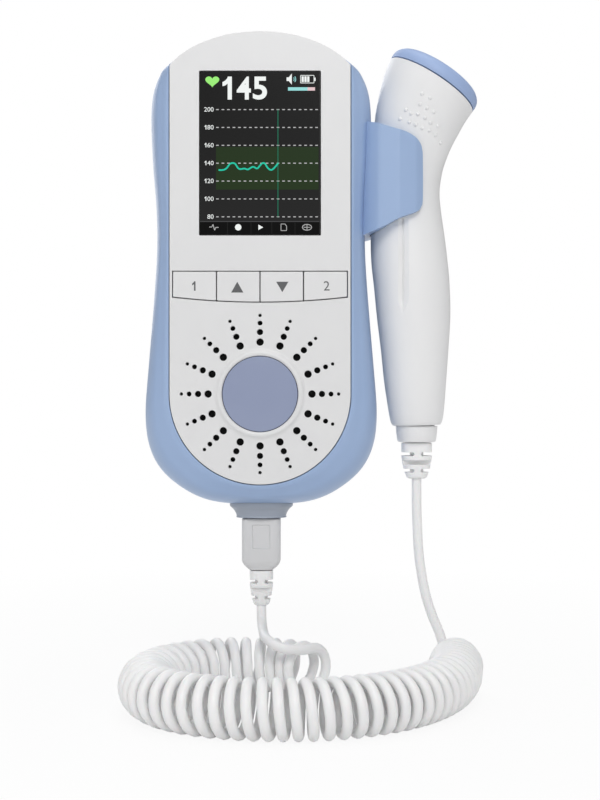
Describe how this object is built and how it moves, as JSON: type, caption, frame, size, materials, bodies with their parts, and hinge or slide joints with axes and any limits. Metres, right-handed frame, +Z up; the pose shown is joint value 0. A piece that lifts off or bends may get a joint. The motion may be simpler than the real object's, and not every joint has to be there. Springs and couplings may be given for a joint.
{
  "type": "fetal doppler monitor",
  "caption": "Handheld doppler unit with a screen, a key row and a speaker grille, a side holder, and a curved ultrasound probe on a curly cord.",
  "frame": {"origin": "middle of the unit's flat back, which is the plane Y = 0", "axes": "+Z up along the unit's length, +Y out of its back, -Y out of its front with the screen, +X towards the probe"},
  "size_m": [0.1082, 0.0871, 0.2006],
  "materials": {
    "white_abs": "satin white ABS",
    "blue_abs": "satin pale blue ABS",
    "blue_elastomer": "soft pale blue elastomer",
    "grey_abs": "satin grey-blue ABS",
    "black_acrylic": "polished black acrylic",
    "badge_film": "satin violet-blue film, plain",
    "white_pvc": "soft white PVC",
    "silicone": "grey silicone",
    "circuit_board": "green solder mask",
    "steel": "plated steel",
    "black_cloth": "black woven dust cloth",
    "glass": "display glass",
    "paper": "pressed speaker paper",
    "ferrite": "dark ferrite",
    "ceramic": "piezoelectric ceramic",
    "cell_sleeve": "printed sleeve on a steel can, left plain"
  },
  "bodies": {
    "unit": {"rear_shell": "blue_abs", "front_cover": "white_abs", "display_lens": "black_acrylic", "display_panel": "glass", "display_frame": "grey_abs", "key_mat": "silicone", "main_board": "circuit_board", "speaker_screen": "black_cloth", "speaker_basket": "steel", "speaker_cone": "paper", "speaker_magnet": "ferrite", "badge_ring": "white_abs", "badge_disc": "badge_film", "battery_one": "cell_sleeve", "battery_two": "cell_sleeve", "contact_top": "steel", "contact_bottom": "steel", "case_screw_1": "steel", "case_screw_2": "steel", "case_screw_3": "steel", "case_screw_4": "steel", "holder_screw_1": "steel", "holder_screw_2": "steel", "probe_holder": "blue_abs", "socket_collar": "grey_abs", "usb_socket": "steel", "plug_lead": "white_pvc", "curly_cord": "white_pvc", "probe_lead": "white_pvc"},
    "key_one_cap": {"key_one": "white_abs"},
    "key_up_cap": {"key_up": "white_abs"},
    "key_down_cap": {"key_down": "white_abs"},
    "key_two_cap": {"key_two": "white_abs"},
    "door": {"battery_door": "blue_abs"},
    "plug": {"plug_shell": "steel", "plug_body": "white_pvc", "plug_relief": "white_pvc"},
    "probe": {"handle_front": "white_abs", "handle_rear": "white_abs", "probe_cap": "blue_elastomer", "crystal_left": "ceramic", "crystal_right": "ceramic", "crystal_backing": "silicone", "probe_board": "circuit_board", "tail_collar": "white_abs", "probe_relief": "white_pvc"}
  },
  "joints": [
    {"name": "key_one_press", "type": "slide", "parent": "unit", "child": "key_one_cap", "axis": [0, 1, 0], "range_m": [0, 0.0006], "stiffness_N_per_m": 400, "springref_m": -0.0005},
    {"name": "key_up_press", "type": "slide", "parent": "unit", "child": "key_up_cap", "axis": [0, 1, 0], "range_m": [0, 0.0006], "stiffness_N_per_m": 400, "springref_m": -0.0005},
    {"name": "key_down_press", "type": "slide", "parent": "unit", "child": "key_down_cap", "axis": [0, 1, 0], "range_m": [0, 0.0006], "stiffness_N_per_m": 400, "springref_m": -0.0005},
    {"name": "key_two_press", "type": "slide", "parent": "unit", "child": "key_two_cap", "axis": [0, 1, 0], "range_m": [0, 0.0006], "stiffness_N_per_m": 400, "springref_m": -0.0005},
    {"name": "battery_door_tilt", "type": "hinge", "parent": "unit", "child": "door", "pos_m": [0, 0, -0.0621], "axis": [-1, 0, 0], "range_deg": [0, 75]},
    {"name": "plug_pull", "type": "slide", "parent": "unit", "child": "plug", "axis": [0, 0, -1], "range_m": [0, 0.007], "deforming": ["plug_lead"]},
    {"name": "probe_pull", "type": "slide", "parent": "unit", "child": "probe", "axis": [1, 0, 0], "range_m": [0, 0.045], "deforming": ["probe_lead"]}
  ]
}
